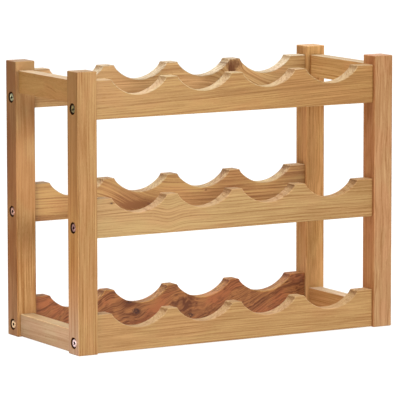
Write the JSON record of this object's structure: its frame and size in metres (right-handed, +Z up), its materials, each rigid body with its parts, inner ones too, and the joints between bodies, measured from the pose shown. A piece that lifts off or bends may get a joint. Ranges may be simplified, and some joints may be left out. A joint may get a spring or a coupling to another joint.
{
  "type": "wine rack",
  "caption": "Free-standing wooden wine rack: square corner posts, scalloped front and rear bottle rails on three levels, plain side rails and recessed socket-head screws.",
  "frame": {"origin": "on the floor under the middle of the rack, the centre of the bottom of its box", "axes": "+X to the right along the bottle rails, +Y from front to back, +Z up"},
  "size_m": [0.47, 0.198, 0.361],
  "materials": {
    "oak_posts": "oiled oak, straight grain, satin",
    "oak_side_rails": "oiled oak, satin",
    "oak_bottle_rails": "oiled oak, parallel grain along the rail, satin",
    "oak_dark_rail": "oiled heart oak, red-brown with swirling figure and knots",
    "beech_dowels": "plain beech, unfinished",
    "screw_steel": "zinc-plated steel, satin"
  },
  "bodies": {
    "root": {"post_front_left": "oak_posts", "post_front_right": "oak_posts", "post_rear_left": "oak_posts", "post_rear_right": "oak_posts", "side_rail_left_bottom": "oak_side_rails", "side_rail_left_top": "oak_side_rails", "side_rail_right_bottom": "oak_side_rails", "side_rail_right_top": "oak_side_rails", "bottle_rail_front_bottom": "oak_bottle_rails", "bottle_rail_front_middle": "oak_bottle_rails", "bottle_rail_front_top": "oak_bottle_rails", "bottle_rail_rear_bottom": "oak_dark_rail", "bottle_rail_rear_middle": "oak_bottle_rails", "bottle_rail_rear_top": "oak_bottle_rails", "screw_front_left_bottom": "screw_steel", "screw_front_left_middle": "screw_steel", "screw_front_left_top": "screw_steel", "screw_front_right_bottom": "screw_steel", "screw_front_right_middle": "screw_steel", "screw_front_right_top": "screw_steel", "screw_rear_left_bottom": "screw_steel", "screw_rear_left_middle": "screw_steel", "screw_rear_left_top": "screw_steel", "screw_rear_right_bottom": "screw_steel", "screw_rear_right_middle": "screw_steel", "screw_rear_right_top": "screw_steel", "rail_dowel_front_left_bottom": "beech_dowels", "rail_dowel_front_left_middle": "beech_dowels", "rail_dowel_front_left_top": "beech_dowels", "rail_dowel_front_right_bottom": "beech_dowels", "rail_dowel_front_right_middle": "beech_dowels", "rail_dowel_front_right_top": "beech_dowels", "rail_dowel_rear_left_bottom": "beech_dowels", "rail_dowel_rear_left_middle": "beech_dowels", "rail_dowel_rear_left_top": "beech_dowels", "rail_dowel_rear_right_bottom": "beech_dowels", "rail_dowel_rear_right_middle": "beech_dowels", "rail_dowel_rear_right_top": "beech_dowels", "side_dowel_front_left_bottom_lower": "beech_dowels", "side_dowel_front_left_bottom_upper": "beech_dowels", "side_dowel_front_left_top_lower": "beech_dowels", "side_dowel_front_left_top_upper": "beech_dowels", "side_dowel_front_right_bottom_lower": "beech_dowels", "side_dowel_front_right_bottom_upper": "beech_dowels", "side_dowel_front_right_top_lower": "beech_dowels", "side_dowel_front_right_top_upper": "beech_dowels", "side_dowel_rear_left_bottom_lower": "beech_dowels", "side_dowel_rear_left_bottom_upper": "beech_dowels", "side_dowel_rear_left_top_lower": "beech_dowels", "side_dowel_rear_left_top_upper": "beech_dowels", "side_dowel_rear_right_bottom_lower": "beech_dowels", "side_dowel_rear_right_bottom_upper": "beech_dowels", "side_dowel_rear_right_top_lower": "beech_dowels", "side_dowel_rear_right_top_upper": "beech_dowels"}
  },
  "joints": []
}
